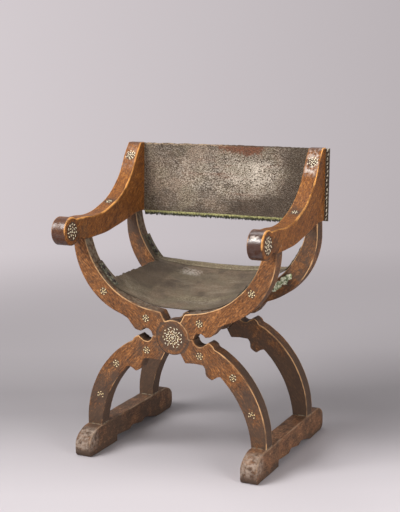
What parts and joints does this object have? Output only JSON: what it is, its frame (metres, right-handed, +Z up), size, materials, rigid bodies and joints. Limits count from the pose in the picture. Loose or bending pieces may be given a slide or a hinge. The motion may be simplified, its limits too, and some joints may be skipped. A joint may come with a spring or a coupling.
{
  "type": "dante chair",
  "caption": "Folding wooden armchair on crossed curved legs, with a slung leather seat, a leather back panel, scrolled arms and inlaid rosettes.",
  "frame": {"origin": "on the floor under the middle of the chair's outline", "axes": "+Z up along the chair's height; the sitter looks along -Y; +X is the right of someone who looks at the chair from the front"},
  "size_m": [0.688, 0.5758, 0.91],
  "materials": {
    "walnut": "worn dark polish",
    "seat_leather": "old, slightly polished",
    "back_leather": "old, crackled",
    "green_braid": "worn braid",
    "old_band": "worn braid with nails",
    "iron": "dark, rubbed",
    "bone": "inlaid in wood"
  },
  "bodies": {
    "left_frame": {"front_member_a": "walnut", "rear_member_a": "walnut", "front_pivot_pin": "iron", "rear_pivot_pin": "iron", "hip_rosette": "bone", "left_arm": "walnut", "left_arm_bend_rosette": "bone", "left_arm_inner_rosette": "bone", "left_arm_outer_rosette": "bone", "left_arm_post_rosette": "bone", "left_arm_front_peg": "walnut", "left_arm_rear_peg": "walnut", "left_back_band": "old_band", "left_front_seat_band": "old_band", "left_rear_seat_band": "old_band", "right_runner": "walnut", "right_runner_front_peg": "walnut", "right_runner_rear_peg": "walnut", "roundel_a1": "bone", "roundel_a2": "bone", "roundel_a3": "bone", "roundel_a4": "bone", "roundel_a5": "bone", "seat_leather": "seat_leather", "back_leather": "back_leather", "back_fringe": "green_braid"},
    "right_frame": {"front_member_b": "walnut", "rear_member_b": "walnut", "right_arm": "walnut", "right_arm_bend_rosette": "bone", "right_arm_inner_rosette": "bone", "right_arm_outer_rosette": "bone", "right_arm_post_rosette": "bone", "right_arm_front_peg": "walnut", "right_arm_rear_peg": "walnut", "right_back_band": "old_band", "right_front_seat_band": "old_band", "right_rear_seat_band": "old_band", "left_runner": "walnut", "left_runner_front_peg": "walnut", "left_runner_rear_peg": "walnut", "roundel_b1": "bone", "roundel_b2": "bone", "roundel_b3": "bone", "roundel_b4": "bone", "roundel_b5": "bone"}
  },
  "joints": [
    {"name": "fold", "type": "hinge", "parent": "left_frame", "child": "right_frame", "pos_m": [0, 0.009, 0.381], "axis": [0, -1, 0], "range_deg": [0, 54], "deforming": ["seat_leather", "back_leather", "back_fringe"]}
  ]
}
